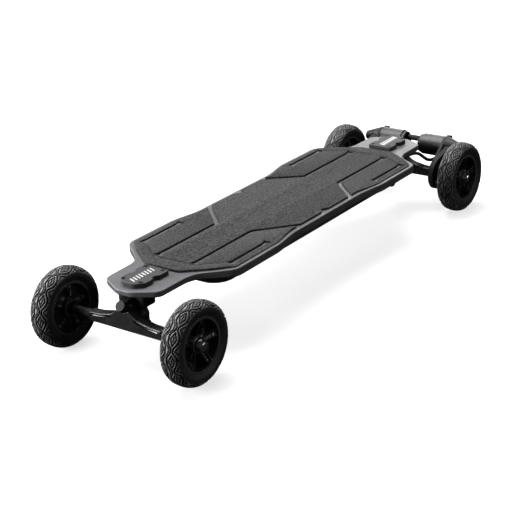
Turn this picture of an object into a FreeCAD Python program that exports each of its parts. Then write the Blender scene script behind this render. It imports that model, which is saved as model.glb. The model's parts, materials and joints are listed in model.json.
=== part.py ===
import FreeCAD
import Part
import math
import os

# An electric all-terrain skateboard, in millimetres.
# +X points forward to the nose, +Y to the board's left, +Z up.
# The origin is on the floor under the middle of the board.

Vec = FreeCAD.Vector

# Wheels and trucks
WHEELBASE = 989.0
TRACK = 315.0
TYRE_RADIUS = 80.0
TYRE_WIDTH = 42.0
RIM_SEAT_RADIUS = 52.0
RIM_BOLT_RADIUS = 40.7
SPOKE_COUNT = 5
AXLE_RADIUS = 6.0
AXLE_TIP_Y = 181.0
BEARING_RADIUS = 14.0
BEARING_WIDTH = 8.0
STEER_ANGLE = 35.0
KINGPIN_TILT = 8.0
KINGPIN_RADIUS = 5.0
PLATE_CENTRE_X = 439.0
PLATE_HOLES_X = 63.5
PLATE_HOLES_Y = 41.3

# Deck
DECK_BOTTOM_Z = 138.0
DECK_TOP_Z = 149.5
CONCAVE_RADIUS = 1500.0
PAD_THICKNESS = 4.2
GROOVE_WIDTH = 10.5
CREASE_WIDTH = 1.8
CREASE_DEPTH = 1.2
BEVEL_START_Y = 108.0
BADGE_TOP_Z = 158.5

# Enclosure under the deck
TRAY_HALF_LENGTH = 330.0
TRAY_HALF_WIDTH = 98.0
TRAY_TOP_Z = 137.0
TRAY_BOTTOM_Z = 106.0
TRAY_WALL = 2.5
TRAY_CORNER = 44.0
PORT_X = -288.0
PORT_Z = 121.0
PORT_RADIUS = 7.6
SOCKET_RADIUS = 4.0
CAP_HINGE_RISE = 9.2
BUTTON_RADIUS = 5.5

# Drive: belt pitch 5 mm
MOTOR_RADIUS = 24.5
MOTOR_END_Y = 19.0
MOTOR_INNER_Y = 28.0
MOTOR_OUTER_Y = 84.0
MOTOR_TEETH = 14
WHEEL_TEETH = 44
BELT_TEETH = 62
TOOTH_PITCH = 5.0
BELT_INNER_Y = 95.0
BELT_WIDTH = 12.0
BELT_THICKNESS = 2.4
MOTOR_DIRECTION = 148.0
CABLE_RADIUS = 3.8

# Clearances
RUNNING = 0.05
FREE = 0.4

# Places worked out from the driving dimensions
AXLE_X = WHEELBASE / 2
AXLE_Z = TYRE_RADIUS
HALF_TRACK = TRACK / 2
WHEEL_INNER_Y = HALF_TRACK - TYRE_WIDTH / 2
WHEEL_OUTER_Y = HALF_TRACK + TYRE_WIDTH / 2
HUB_INNER_Y = WHEEL_INNER_Y + 4.0
HUB_OUTER_Y = WHEEL_OUTER_Y - 10.5
RING_CENTRE = Vec(AXLE_X - 38.5, 0, AXLE_Z + 5.0)
STEER_AXIS = Vec(math.cos(math.radians(STEER_ANGLE)), 0, math.sin(math.radians(STEER_ANGLE)))
KINGPIN_AXIS = Vec(math.sin(math.radians(KINGPIN_TILT)), 0, math.cos(math.radians(KINGPIN_TILT)))
BALL_RADIUS = 16.0
BUSHING_RADIUS = 14.5
BUSHING_TOP = 21.0
WHEEL_PITCH_RADIUS = WHEEL_TEETH * TOOTH_PITCH / (2 * math.pi)
MOTOR_PITCH_RADIUS = MOTOR_TEETH * TOOTH_PITCH / (2 * math.pi)
TOOTH_TIP_DROP = 0.6


def belt_centre_distance():
    """Distance between the pulleys at which the belt has its whole number of teeth."""
    length = BELT_TEETH * TOOTH_PITCH
    wrap = math.pi * (WHEEL_PITCH_RADIUS + MOTOR_PITCH_RADIUS)
    step = (WHEEL_PITCH_RADIUS - MOTOR_PITCH_RADIUS) ** 2
    return ((length - wrap) + math.sqrt((length - wrap) ** 2 - 8 * step)) / 4


BELT_CENTRES = belt_centre_distance()
MOTOR_X = -AXLE_X + BELT_CENTRES * math.cos(math.radians(MOTOR_DIRECTION))
MOTOR_Z = AXLE_Z + BELT_CENTRES * math.sin(math.radians(MOTOR_DIRECTION))


# ---------------------------------------------------------------- helpers

def save(shape, name):
    shape.exportStep("parts/" + name + ".step")


def box(low, high):
    return Part.makeBox(high[0] - low[0], high[1] - low[1], high[2] - low[2], Vec(*low))


def rod(start, end, radius):
    start = Vec(*start)
    along = Vec(*end) - start
    return Part.makeCylinder(radius, along.Length, start, along)


def tube(start, end, outer, inner):
    return rod(start, end, outer).cut(rod(start, end, inner))


def cone(start, end, start_radius, end_radius):
    start = Vec(*start)
    along = Vec(*end) - start
    return Part.makeCone(start_radius, end_radius, along.Length, start, along)


def hex_prism(start, end, across_flats):
    """Six-sided prism between two points."""
    start = Vec(*start)
    along = Vec(*end) - start
    turn = FreeCAD.Rotation(Vec(0, 0, 1), along)
    radius = across_flats / math.sqrt(3)
    corners = [Vec(radius * math.cos(math.radians(60 * i)), radius * math.sin(math.radians(60 * i)), 0)
               for i in range(6)]
    corners = [start + turn.multVec(corner) for corner in corners]
    return Part.Face(Part.makePolygon(corners + corners[:1])).extrude(along)


def rounded_wire(corners):
    """Closed wire in the XY plane from (x, y, corner radius) points."""
    count = len(corners)
    points = [Vec(x, y, 0) for x, y, _ in corners]
    starts = []
    arcs = []
    ends = []
    for i in range(count):
        corner = points[i]
        back = (points[i - 1] - corner).normalize()
        ahead = (points[(i + 1) % count] - corner).normalize()
        half = back.getAngle(ahead) / 2
        radius = corners[i][2]
        reach = radius / math.tan(half)
        start = corner + back * reach
        end = corner + ahead * reach
        middle_direction = (back + ahead).normalize()
        middle = corner + middle_direction * (radius / math.sin(half) - radius)
        starts.append(start)
        ends.append(end)
        arcs.append(Part.Arc(start, middle, end).toShape())
    edges = []
    for i in range(count):
        edges.append(arcs[i])
        edges.append(Part.LineSegment(ends[i], starts[(i + 1) % count]).toShape())
    return Part.Wire(edges)


def slab(corners, low_z, high_z):
    """Rounded outline in plan, extruded between two heights."""
    face = Part.Face(rounded_wire(corners))
    face.translate(Vec(0, 0, low_z))
    return face.extrude(Vec(0, 0, high_z - low_z))


def front_slab(corners, low_x, high_x):
    """Rounded outline of (y, z, corner radius) points, extruded along X."""
    face = Part.Face(rounded_wire(corners))
    turn = FreeCAD.Rotation(Vec(0, 1, 0), Vec(0, 0, 1), Vec(1, 0, 0), "ZXY")
    face.Placement = FreeCAD.Placement(Vec(low_x, 0, 0), turn)
    return face.extrude(Vec(high_x - low_x, 0, 0))


def side_prism(corners, low_y, high_y):
    """Polygon of (x, z) points, extruded along Y."""
    points = [Vec(x, low_y, z) for x, z in corners]
    return Part.Face(Part.makePolygon(points + points[:1])).extrude(Vec(0, high_y - low_y, 0))


def front_prism(corners, low_x, high_x):
    """Polygon of (y, z) points, extruded along X."""
    points = [Vec(low_x, y, z) for y, z in corners]
    return Part.Face(Part.makePolygon(points + points[:1])).extrude(Vec(high_x - low_x, 0, 0))


def four_ways(quadrant):
    """Full outline from the points of its front left quarter, listed from the nose to the waist."""
    front_left = list(quadrant)
    rear_left = [(-x, y, r) for x, y, r in reversed(quadrant) if x > 0]
    rear_right = [(-x, -y, r) for x, y, r in quadrant]
    front_right = [(x, -y, r) for x, y, r in reversed(quadrant) if x > 0]
    return front_left + rear_left + rear_right + front_right


def mirrored_y(shape):
    return shape.mirror(Vec(0, 0, 0), Vec(0, 1, 0))


def to_rear(shape):
    """The same piece of the other truck."""
    return shape.copy().rotated(Vec(0, 0, 0), Vec(0, 0, 1), 180)


def group(shapes):
    return Part.makeCompound(shapes)


def on_axis(origin, axis, distance):
    return origin + axis * distance


def two_circle_wire(first, first_radius, second, second_radius, y):
    """Outline round two circles that lie in the plane of the wheels, given as (x, z) centres."""
    gap_x = second[0] - first[0]
    gap_z = second[1] - first[1]
    distance = math.hypot(gap_x, gap_z)
    heading = math.atan2(gap_z, gap_x)
    spread = math.acos((first_radius - second_radius) / distance)

    def at(centre, radius, angle):
        return Vec(centre[0] + radius * math.cos(angle), y, centre[1] + radius * math.sin(angle))

    first_top = at(first, first_radius, heading + spread)
    first_low = at(first, first_radius, heading - spread)
    first_back = at(first, first_radius, heading + math.pi)
    second_top = at(second, second_radius, heading + spread)
    second_low = at(second, second_radius, heading - spread)
    second_front = at(second, second_radius, heading)
    edges = [Part.Arc(first_low, first_back, first_top).toShape(),
             Part.LineSegment(first_top, second_top).toShape(),
             Part.Arc(second_top, second_front, second_low).toShape(),
             Part.LineSegment(second_low, first_low).toShape()]
    return Part.Wire(edges)


def drive_plate(axle_radius, motor_radius, low_y, high_y):
    """Plate that spans from the rear axle to the motor shaft."""
    wire = two_circle_wire((-AXLE_X, AXLE_Z), axle_radius, (MOTOR_X, MOTOR_Z), motor_radius, low_y)
    return Part.Face(wire).extrude(Vec(0, high_y - low_y, 0))


# ---------------------------------------------------------------- deck

DECK_QUARTER = [(499.5, 17, 34), (473, 66, 22), (380, 68, 48), (329.2, 134.5, 30),
                (192, 134.5, 90), (128, 123, 90)]
PAD_QUARTER = [(387, 40, 20), (350, 94, 40), (321, 126, 10), (185, 126, 60), (125, 112, 60),
               (13, 112, 3), (0, 102, 3)]


def above_concave(height):
    """Everything above the shallow trough that is the riding surface, raised by a height."""
    centre_z = DECK_TOP_Z + height + CONCAVE_RADIUS
    return rod((-600, 0, centre_z), (600, 0, centre_z), CONCAVE_RADIUS)


def truck_hole_places():
    places = []
    for end in (1, -1):
        for along in (-0.5, 0.5):
            for across in (-0.5, 0.5):
                places.append((end * PLATE_CENTRE_X + along * PLATE_HOLES_X, across * PLATE_HOLES_Y))
    return places


def drilled(shape, radius, low_z, high_z):
    """Shape with the truck bolt holes cut through it."""
    for x, y in truck_hole_places():
        shape = shape.cut(rod((x, y, low_z), (x, y, high_z), radius))
    return shape


def deck_shell():
    deck = slab(four_ways(DECK_QUARTER), DECK_BOTTOM_Z, DECK_TOP_Z + 20)
    deck = deck.cut(above_concave(0))
    rim = [edge for edge in deck.Edges
           if edge.BoundBox.ZLength < 4 and edge.BoundBox.ZMin > DECK_BOTTOM_Z + 1]
    deck = deck.makeFillet(2.2, rim)
    foot = [edge for edge in deck.Edges if edge.BoundBox.ZMax < DECK_BOTTOM_Z + 0.01]
    deck = deck.makeFillet(3.5, foot)
    return drilled(deck, 2.75, DECK_BOTTOM_Z - 1, DECK_TOP_Z + 5)


def groove(points, width):
    """Slot with round ends along a chain of points."""
    half = width / 2
    low_z = DECK_TOP_Z - 5
    high_z = DECK_TOP_Z + 20
    pieces = [rod((x, y, low_z), (x, y, high_z), half) for x, y in points]
    for (x0, y0), (x1, y1) in zip(points, points[1:]):
        length = math.hypot(x1 - x0, y1 - y0)
        bar = box((0, -half, low_z), (length, half, high_z))
        bar.rotate(Vec(0, 0, 0), Vec(0, 0, 1), math.degrees(math.atan2(y1 - y0, x1 - x0)))
        bar.translate(Vec(x0, y0, 0))
        pieces.append(bar)
    return pieces[0].multiFuse(pieces[1:])


def flare(x, y, direction):
    """Wider mouth at the end of a lengthwise groove."""
    narrow = GROOVE_WIDTH / 2
    wide = narrow + 4
    end = x + direction * 14
    outline = [(x, y - narrow), (end, y - wide), (end, y + wide), (x, y + narrow)]
    corners = [Vec(cx, cy, DECK_TOP_Z - 5) for cx, cy in outline]
    return Part.Face(Part.makePolygon(corners + corners[:1])).extrude(Vec(0, 0, 25))


def pad_cuts():
    """Grooves right through the front left quarter of the pad."""
    inner = groove([(341, 44), (159, 44), (88, 120)], GROOVE_WIDTH)
    outer = groove([(310, 108), (205, 108)], GROOVE_WIDTH)
    return [inner, outer, flare(334, 44, 1), flare(303, 108, 1), flare(208, 108, -1)]


def pad_crease():
    """Shallow line that joins the ends of the grooves across the nose."""
    line = groove([(313, 104), (351, 50), (351, -50), (313, -104)], CREASE_WIDTH)
    return line.common(above_concave(PAD_THICKNESS - CREASE_DEPTH))


def pad_bevel():
    """Wedge above the outer strip of the pad, which falls away to the edge of the deck."""
    start_z = DECK_TOP_Z + BEVEL_START_Y ** 2 / (2 * CONCAVE_RADIUS) + PAD_THICKNESS
    end_y = BEVEL_START_Y + 27
    return front_prism([(BEVEL_START_Y, start_z), (end_y, start_z - 1.6), (end_y, start_z + 20),
                        (BEVEL_START_Y, start_z + 20)], -400, 400)


def grip_pad():
    pad = slab(four_ways(PAD_QUARTER), DECK_TOP_Z - 4, DECK_TOP_Z + 20)
    pad = pad.common(above_concave(0)).cut(above_concave(PAD_THICKNESS))
    pad = pad.cut(pad_bevel()).cut(mirrored_y(pad_bevel()))
    pad = pad.cut(pad_crease()).cut(to_rear(pad_crease()))
    for cut in pad_cuts():
        for piece in (cut, mirrored_y(cut)):
            pad = pad.cut(piece).cut(to_rear(piece))
    return pad


def badge_plate():
    """Raised plate over the nose bolts, with a small step in each long side."""
    side = [(484, 13, 16), (470, 29.5, 14), (447, 29.5, 3), (442, 23.5, 3), (433, 23.5, 3), (428, 29.5, 3),
            (400, 29.5, 4)]
    outline = side + [(x, -y, r) for x, y, r in reversed(side)]
    plate = slab(outline, DECK_TOP_Z - 2, BADGE_TOP_Z)
    plate = plate.common(above_concave(0))
    top = [edge for edge in plate.Edges if edge.BoundBox.ZMin > BADGE_TOP_Z - 0.01]
    plate = plate.makeFillet(1.2, top)
    for x, y in truck_hole_places()[:4]:
        plate = plate.cut(rod((x, y, DECK_TOP_Z - 5), (x, y, BADGE_TOP_Z + 1), 2.75))
        plate = plate.cut(rod((x, y, BADGE_TOP_Z - 4), (x, y, BADGE_TOP_Z + 1), 5.0))
    return plate


# ---------------------------------------------------------------- enclosure and electrics

def tray_outline(length, width, corner, z):
    """Plan of the tray at one height: wide corners at the front, tighter ones at the rear."""
    wire = rounded_wire([(length, width, corner), (-length, width, corner / 2),
                         (-length, -width, corner / 2), (length, -width, corner)])
    wire.translate(Vec(0, 0, z))
    return wire


def tray_block(inset, top_z):
    """Boat-shaped block with a narrower floor, shrunk by an inset."""
    length = TRAY_HALF_LENGTH - inset
    width = TRAY_HALF_WIDTH - inset
    corner = TRAY_CORNER - inset
    floor = tray_outline(length - 9, width - 14, corner - 4, TRAY_BOTTOM_Z + inset)
    shoulder = tray_outline(length, width, corner, TRAY_BOTTOM_Z + 14)
    top = tray_outline(length, width, corner, top_z)
    return Part.makeLoft([floor, shoulder, top], True, True)


def tray_screw_places():
    places = [(x, side * (TRAY_HALF_WIDTH + 4)) for x in (-270, -135, 0, 135, 270) for side in (1, -1)]
    places += [(end * (TRAY_HALF_LENGTH + 4), side * 60) for end in (1, -1) for side in (1, -1)]
    return places


def side_hole(side, radius):
    """Hole through one side wall of the tray, for the charge port or the power button."""
    inner_y = side * (TRAY_HALF_WIDTH - 16)
    outer_y = side * (TRAY_HALF_WIDTH + 20)
    return rod((PORT_X, inner_y, PORT_Z), (PORT_X, outer_y, PORT_Z), radius)


def flange(low_z, high_z):
    length = TRAY_HALF_LENGTH + 9
    width = TRAY_HALF_WIDTH + 8
    return slab([(length, width, 12), (-length, width, 12), (-length, -width, 12), (length, -width, 12)],
                low_z, high_z)


def battery_enclosure():
    tray = tray_block(0, TRAY_TOP_Z).fuse(flange(TRAY_TOP_Z - 3, TRAY_TOP_Z))
    tray = tray.cut(tray_block(TRAY_WALL, TRAY_TOP_Z + 1))
    for x, y in tray_screw_places():
        tray = tray.cut(rod((x, y, TRAY_TOP_Z - 5), (x, y, TRAY_TOP_Z + 1), 2.2))
    start = Vec(*CABLE_POINTS[0])
    along = (Vec(*CABLE_POINTS[1]) - start).normalize()
    cable_hole = rod(start - along * 5, start + along * 20, CABLE_RADIUS + 0.2)
    tray = tray.cut(cable_hole).cut(mirrored_y(cable_hole))
    return tray.cut(side_hole(1, PORT_RADIUS)).cut(side_hole(-1, PORT_RADIUS))


def enclosure_gasket():
    ring = flange(TRAY_TOP_Z, DECK_BOTTOM_Z)
    ring = ring.cut(tray_block(0, DECK_BOTTOM_Z + 1))
    for x, y in tray_screw_places():
        ring = ring.cut(rod((x, y, TRAY_TOP_Z - 1), (x, y, DECK_BOTTOM_Z + 1), 2.2))
    return ring


def enclosure_screws():
    screws = []
    for x, y in tray_screw_places():
        head = rod((x, y, TRAY_TOP_Z - 5.2), (x, y, TRAY_TOP_Z - 3), 3.8)
        shank = rod((x, y, TRAY_TOP_Z - 3), (x, y, DECK_BOTTOM_Z), 2.0)
        socket = hex_prism((x, y, TRAY_TOP_Z - 5.3), (x, y, TRAY_TOP_Z - 4), 2.5)
        screws.append(head.fuse(shank).cut(socket))
    return group(screws)


def battery_pack():
    """Cells side by side across the tray, tied into one pack by two end plates."""
    cell_radius = 9.0
    centre_z = TRAY_BOTTOM_Z + TRAY_WALL + cell_radius + 2
    pieces = []
    for end in (-70, 0, 70):
        pieces.append(box((-64, end - 2, centre_z - 9), (286, end + 2, centre_z + 9)))
    for i in range(18):
        x = -54 + i * 19.5
        pieces.append(rod((x, -68, centre_z), (x, 68, centre_z), cell_radius))
    return pieces[0].multiFuse(pieces[1:])


def motor_controller():
    """Speed controller: a sealed case with cooling fins along its top."""
    low_z = TRAY_BOTTOM_Z + TRAY_WALL
    case = box((-290, -52, low_z), (-135, 52, low_z + 16))
    fins = [box((-285, y - 1.2, low_z + 15), (-140, y + 1.2, low_z + 23)) for y in range(-44, 45, 11)]
    return case.multiFuse(fins)


def charge_port():
    """Round socket in the left wall of the tray, with two ears for its cap."""
    y = TRAY_HALF_WIDTH
    z = PORT_Z
    body = rod((PORT_X, y - 14, z), (PORT_X, y, z), PORT_RADIUS - 0.1)
    body = body.fuse(rod((PORT_X, y, z), (PORT_X, y + 2.5, z), PORT_RADIUS + 1.4))
    for side in (1, -1):
        inner = PORT_X + side * 2.5
        outer = PORT_X + side * 5
        body = body.fuse(rod((inner, y + 3, z + CAP_HINGE_RISE), (outer, y + 3, z + CAP_HINGE_RISE), 2.2))
    hinge_z = z + CAP_HINGE_RISE
    body = body.cut(rod((PORT_X, y - 11, z), (PORT_X, y + 5, z), SOCKET_RADIUS))
    body = body.cut(rod((PORT_X - 2.5, y + 3, hinge_z), (PORT_X + 2.5, y + 3, hinge_z), 2.4))
    return body.cut(rod((PORT_X - 6, y + 3, hinge_z), (PORT_X + 6, y + 3, hinge_z), 1.2))


def charge_port_cap():
    """Rubber cap that swings up on its own pin."""
    y = TRAY_HALF_WIDTH
    z = PORT_Z
    hinge_z = z + CAP_HINGE_RISE
    lid = rod((PORT_X, y + 2.9, z), (PORT_X, y + 6, z), PORT_RADIUS - 0.6)
    lid = lid.fuse(box((PORT_X - 2.1, y + 3.4, z + 4), (PORT_X + 2.1, y + 5, hinge_z)))
    lid = lid.fuse(rod((PORT_X - 2.1, y + 3, hinge_z), (PORT_X + 2.1, y + 3, hinge_z), 2.0))
    return lid.fuse(rod((PORT_X - 4.5, y + 3, hinge_z), (PORT_X + 4.5, y + 3, hinge_z), 1.2 - RUNNING))


def power_button():
    y = -TRAY_HALF_WIDTH
    cap = rod((PORT_X, y + 9, PORT_Z), (PORT_X, y - 3.2, PORT_Z), BUTTON_RADIUS)
    return cap.makeChamfer(0.8, [edge for edge in cap.Edges if edge.BoundBox.YMax < y - 3])


def button_bezel():
    """Ring round the power button, closed behind it."""
    y = -TRAY_HALF_WIDTH
    sleeve = rod((PORT_X, y + 14, PORT_Z), (PORT_X, y, PORT_Z), PORT_RADIUS - 0.1)
    lip = rod((PORT_X, y, PORT_Z), (PORT_X, y - 1.5, PORT_Z), PORT_RADIUS + 1.4)
    well = rod((PORT_X, y + 11.5, PORT_Z), (PORT_X, y - 3, PORT_Z), BUTTON_RADIUS + RUNNING)
    return sleeve.fuse(lip).cut(well)


# ---------------------------------------------------------------- motor cables

# One cable of the left motor: out of the tray's rear end, along the tail and round in a loop to the motor.
CABLE_START = (-TRAY_HALF_LENGTH + 8, 44, TRAY_BOTTOM_Z + 17)
CABLE_POINTS = [CABLE_START, (-368, 47, 126), (-415, 49, 130), (-458, 48.5, 129), (-491, 50, 122.5),
                (-509, 55, 107), (-521, 60.5, 96.5), (-534, 67.3, 96), (-544.2, 73.2, 99.9)]


def tangent_path(points):
    """Straight runs joined by tangent arcs, and the radii of those arcs."""
    points = [Vec(*point) for point in points]
    edges = []
    radii = []
    start = points[0]
    for before, corner, after in zip(points, points[1:], points[2:]):
        back = before - corner
        ahead = after - corner
        shorter = min(back.Length, ahead.Length)
        turn = math.pi - back.getAngle(ahead)
        radius = 0.45 * shorter / math.tan(turn / 2)
        radii.append(radius)
        back.normalize()
        ahead.normalize()
        arc_start = corner + back * 0.45 * shorter
        arc_end = corner + ahead * 0.45 * shorter
        centre_line = (back + ahead).normalize()
        middle = corner + centre_line * (radius / math.cos(turn / 2) - radius)
        edges.append(Part.LineSegment(start, arc_start).toShape())
        edges.append(Part.Arc(arc_start, middle, arc_end).toShape())
        start = arc_end
    edges.append(Part.LineSegment(start, points[-1]).toShape())
    return Part.Wire(edges), radii


def motor_cable():
    path, radii = tangent_path(CABLE_POINTS)
    print("cable arc radii:", [round(radius, 1) for radius in radii])
    start = Vec(*CABLE_POINTS[0])
    direction = Vec(*CABLE_POINTS[1]) - start
    section = Part.Wire([Part.makeCircle(CABLE_RADIUS, start, direction)])
    cable = path.makePipeShell([section], True, False)
    expected = math.pi * CABLE_RADIUS ** 2 * path.Length
    print("cable length:", round(path.Length, 1), "volume over expected:", round(cable.Volume / expected, 4))
    return cable


# ---------------------------------------------------------------- trucks, drawn at the nose

BASEPLATE_TOP_Z = DECK_BOTTOM_Z - 4
BASEPLATE_THICKNESS = 7.0
TRUCK_NUT_TOP = BASEPLATE_TOP_Z - BASEPLATE_THICKNESS
PIVOT_HOUSING_START = 50.0
PIVOT_HOUSING_END = 66.0
STEM_RADIUS = 6.0
HANGER_ARM_Y = 88.0


def along_kingpin(distance):
    return on_axis(RING_CENTRE, KINGPIN_AXIS, distance)


def along_steer(distance):
    return on_axis(RING_CENTRE, STEER_AXIS, distance)


def truck_bolts():
    """Socket-head bolts that hold the trucks, through badge, deck, riser and baseplate."""
    bolts = []
    for x, y in truck_hole_places():
        head = rod((x, y, BADGE_TOP_Z - 4), (x, y, BADGE_TOP_Z - 1), 4.6)
        shank = rod((x, y, TRUCK_NUT_TOP - 6), (x, y, BADGE_TOP_Z - 3), 2.5)
        bolts.append(head.fuse(shank).cut(hex_prism((x, y, BADGE_TOP_Z - 3), (x, y, BADGE_TOP_Z), 3.2)))
    return group(bolts)


def truck_nuts():
    nuts = []
    for x, y in truck_hole_places():
        nut = hex_prism((x, y, TRUCK_NUT_TOP - 5), (x, y, TRUCK_NUT_TOP), 8.0)
        nuts.append(nut.cut(rod((x, y, TRUCK_NUT_TOP - 6), (x, y, TRUCK_NUT_TOP + 1), 2.5)))
    return group(nuts)


def riser_pad():
    """Rubber pad between the deck and the baseplate."""
    x = PLATE_CENTRE_X
    pad = slab([(x + 42, 35, 8), (x - 42, 35, 8), (x - 42, -35, 8), (x + 42, -35, 8)],
               BASEPLATE_TOP_Z, DECK_BOTTOM_Z)
    return drilled(pad, 2.9, DECK_BOTTOM_Z - 5, DECK_BOTTOM_Z + 1)


def baseplate():
    """Truck baseplate: bolted plate, block with the kingpin boss, and an arm out to the pivot cup."""
    x = PLATE_CENTRE_X
    top_z = BASEPLATE_TOP_Z
    plate = slab([(x + 42, 34, 8), (x - 42, 34, 8), (x - 42, -34, 8), (x + 42, -34, 8)], TRUCK_NUT_TOP, top_z)
    boss = cone(along_kingpin(BUSHING_TOP + 2), along_kingpin(46), 19.0, 25.0)
    block = slab([(x + 41, 33, 7), (x + 6, 33, 7), (x + 6, -33, 7), (x + 41, -33, 7)], TRUCK_NUT_TOP - 15,
                 TRUCK_NUT_TOP + 1)
    block = block.makeChamfer(2.0, [edge for edge in block.Edges
                                    if edge.BoundBox.ZMax < TRUCK_NUT_TOP - 14.9])
    housing = rod(along_steer(PIVOT_HOUSING_START), along_steer(PIVOT_HOUSING_END), 10.0)
    top = along_steer(PIVOT_HOUSING_END - 4)
    low = along_steer(PIVOT_HOUSING_START)
    arm = side_prism([(x + 14, top_z), (x + 42, top_z), (top.x - 5, top.z + 8.5), (low.x - 4.6, low.z + 6.6),
                      (x + 40, top_z - 12), (x + 24, top_z - 11)], -9, 9)
    boss = boss.common(box((x - 42, -28, 60), (x + 60, 28, top_z - 1)))
    shape = plate.multiFuse([boss, block, housing, arm])
    for hole_x, hole_y in truck_hole_places()[:4]:
        shape = shape.cut(rod((hole_x, hole_y, 60), (hole_x, hole_y, TRUCK_NUT_TOP), 5.4))
    shape = shape.cut(rod(along_steer(PIVOT_HOUSING_START - 9), along_steer(PIVOT_HOUSING_END - 3), 8.6))
    shape = shape.cut(rod(along_kingpin(15), along_kingpin(60), KINGPIN_RADIUS + RUNNING))
    shape = shape.cut(hex_prism(along_kingpin(39), along_kingpin(60), 14.4))
    return drilled(shape, 2.75, top_z - 30, top_z + 1)


def kingpin():
    head = hex_prism(along_kingpin(39.5), along_kingpin(46), 14.0)
    shank = rod(along_kingpin(-33), along_kingpin(40), KINGPIN_RADIUS)
    return head.fuse(shank).common(box((400, -40, 0), (520, 40, BASEPLATE_TOP_Z)))


def kingpin_nut():
    nut = hex_prism(along_kingpin(-31), along_kingpin(-23), 17.0)
    return nut.cut(rod(along_kingpin(-34), along_kingpin(-20), KINGPIN_RADIUS + RUNNING))


def bushing(side):
    """Barrel bushing whose end is a cup round the hanger's ball."""
    body = rod(along_kingpin(side * 5), along_kingpin(side * BUSHING_TOP), BUSHING_RADIUS)
    body = body.cut(Part.makeSphere(BALL_RADIUS + FREE, RING_CENTRE))
    waist = Part.makeTorus(BUSHING_RADIUS + 1.6, 3.0, along_kingpin(side * 15), KINGPIN_AXIS)
    return body.cut(waist).cut(rod(along_kingpin(-30), along_kingpin(30), KINGPIN_RADIUS + RUNNING))


def bushing_washer(side):
    radius = 19.0 if side > 0 else 16.0
    disc = rod(along_kingpin(side * BUSHING_TOP), along_kingpin(side * (BUSHING_TOP + 2)), radius)
    return disc.cut(rod(along_kingpin(-30), along_kingpin(30), KINGPIN_RADIUS + RUNNING))


def pivot_cup():
    """Plastic cup in the baseplate that holds the tip of the hanger's pivot."""
    cup = rod(along_steer(PIVOT_HOUSING_START + 0.5), along_steer(PIVOT_HOUSING_END - 3), 8.6 - RUNNING)
    cup = cup.cut(rod(along_steer(PIVOT_HOUSING_START - 1), along_steer(55), STEM_RADIUS + FREE + 0.1))
    return cup.cut(Part.makeSphere(STEM_RADIUS + FREE, along_steer(55)))


def hanger_plate():
    """Gull-wing plate over the axle: a ribbed pocket in the front of each arm, room for the pivot housing."""
    low_z = AXLE_Z - 9.5
    half = [(HANGER_ARM_Y, low_z, 2), (HANGER_ARM_Y, AXLE_Z + 9.5, 2), (62, AXLE_Z + 11, 60),
            (30, AXLE_Z + 17.5, 40), (13, AXLE_Z + 31, 3)]
    outline = half + [(-y, z, r) for y, z, r in reversed(half)]
    plate = front_slab(outline, AXLE_X - 10, AXLE_X + 10)
    brow = [edge for edge in plate.Edges if edge.BoundBox.XMin > AXLE_X + 9
            and edge.BoundBox.ZMax > low_z + 3 and abs(edge.BoundBox.YMin) < HANGER_ARM_Y - 1]
    plate = plate.makeFillet(2.0, brow)
    foot = [edge for edge in plate.Edges if edge.BoundBox.ZMax < low_z + 0.01 and edge.BoundBox.YLength > 100]
    plate = plate.makeFillet(1.5, foot)
    pocket = [(80, AXLE_Z + 6, 1), (80, AXLE_Z + 2.5, 1), (46, AXLE_Z + 5.5, 30), (27, AXLE_Z + 12, 10),
              (21, AXLE_Z + 19, 0.8), (33, AXLE_Z + 13, 30), (52, AXLE_Z + 8.5, 40)]
    rib = [(66, AXLE_Z + 6.3, 0.6), (66, AXLE_Z + 4.9, 0.6), (44, AXLE_Z + 7.6, 20), (26, AXLE_Z + 15, 0.5),
           (27, AXLE_Z + 16.3, 0.5), (45, AXLE_Z + 9.2, 20)]
    for side in (1, -1):
        hollow = front_slab([(side * y, z, r) for y, z, r in pocket], AXLE_X + 4.5, AXLE_X + 12)
        ridge = front_slab([(side * y, z, r) for y, z, r in rib], AXLE_X + 3, AXLE_X + 8)
        plate = plate.cut(hollow).fuse(ridge)
    return plate.cut(rod(along_steer(PIVOT_HOUSING_START - 1), along_steer(PIVOT_HOUSING_END + 30), 11.2))


def hanger():
    """Forged hanger: plate on the axle, ball-ended pivot stem in front and a ball yoke behind."""
    tube_end = HUB_INNER_Y - 2
    pieces = [rod((AXLE_X, -tube_end, AXLE_Z), (AXLE_X, tube_end, AXLE_Z), 9.0),
              rod(along_steer(37), along_steer(55), STEM_RADIUS - 0.5),
              Part.makeSphere(STEM_RADIUS, along_steer(55)),
              Part.makeSphere(BALL_RADIUS, RING_CENTRE),
              box((RING_CENTRE.x + 8, -9.5, RING_CENTRE.z - 3.6), (AXLE_X - 5, 9.5, RING_CENTRE.z + 3.6))]
    shape = hanger_plate().multiFuse(pieces)
    shape = shape.cut(rod(along_kingpin(-20), along_kingpin(20), 8.2))
    return shape.cut(rod((AXLE_X, -200, AXLE_Z), (AXLE_X, 200, AXLE_Z), AXLE_RADIUS))


def axle():
    bar = rod((AXLE_X, -AXLE_TIP_Y, AXLE_Z), (AXLE_X, AXLE_TIP_Y, AXLE_Z), AXLE_RADIUS)
    return bar.makeChamfer(0.8, [edge for edge in bar.Edges if abs(edge.BoundBox.YMin) > AXLE_TIP_Y - 1
                                 and edge.BoundBox.YLength < 0.01])


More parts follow.
